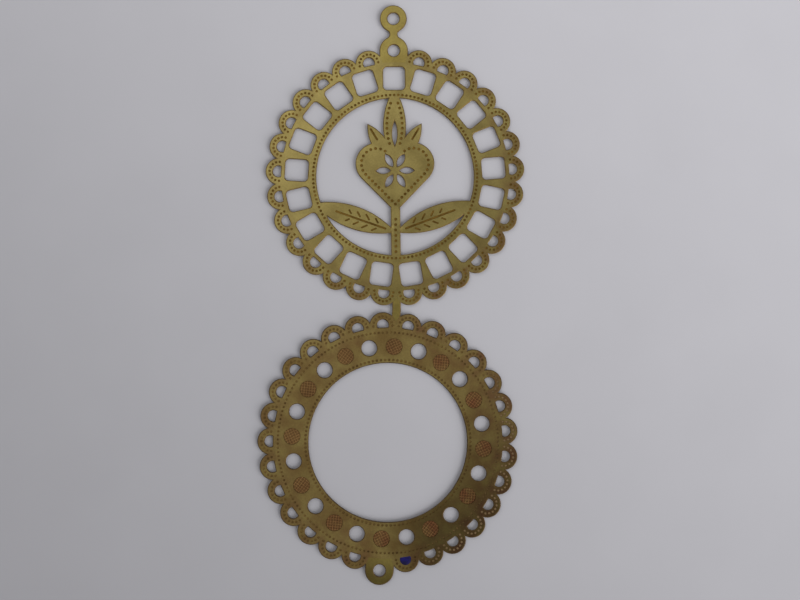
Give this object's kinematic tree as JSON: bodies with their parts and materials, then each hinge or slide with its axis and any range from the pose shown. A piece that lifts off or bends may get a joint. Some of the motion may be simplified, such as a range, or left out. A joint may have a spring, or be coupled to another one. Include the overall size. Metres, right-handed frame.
{
  "type": "fold-over ornament charm",
  "caption": "Flat etched brass charm: a lace medallion with a pierced flaming heart, a matching open ring on a strap that folds behind it, and a clasp ring that folds over both eyes.",
  "frame": {"origin": "on the axis of the front eye's hole, at the back face of the sheet", "axes": "+Y along the charm from the strap towards the clasp ring, +Z out of the decorated face, +X to the right when the decorated face is seen with the clasp at the top"},
  "size_m": [0.0539, 0.1159, 0.0004],
  "materials": {
    "front_brass": "satin, lightly toned",
    "back_brass": "satin, darkly toned",
    "blue_resin": "gloss"
  },
  "bodies": {
    "front_medallion": {"front_lace_border": "front_brass", "front_window_band": "front_brass", "front_beaded_rim": "front_brass", "front_eye": "front_brass", "strap_front_leaf": "front_brass", "heart_plate": "front_brass", "flame_crest": "front_brass", "heart_stem": "front_brass", "left_leaf": "front_brass", "right_leaf": "front_brass"},
    "back_medallion": {"back_lace_border": "back_brass", "back_hole_band": "back_brass", "back_beaded_rim": "back_brass", "back_eye": "back_brass", "strap_back_leaf": "back_brass", "blue_plug": "blue_resin"},
    "clasp": {"clasp_ring": "front_brass"}
  },
  "joints": [
    {"name": "back_fold", "type": "hinge", "parent": "front_medallion", "child": "back_medallion", "pos_m": [0, -0.052, -0.00005], "axis": [0.9993, -0.0384, 0], "range_deg": [0, 179.9]},
    {"name": "clasp_fold", "type": "hinge", "parent": "front_medallion", "child": "clasp", "pos_m": [0, 0.00323, -0.00035], "axis": [-1, 0, 0], "range_deg": [0, 179.9]}
  ]
}
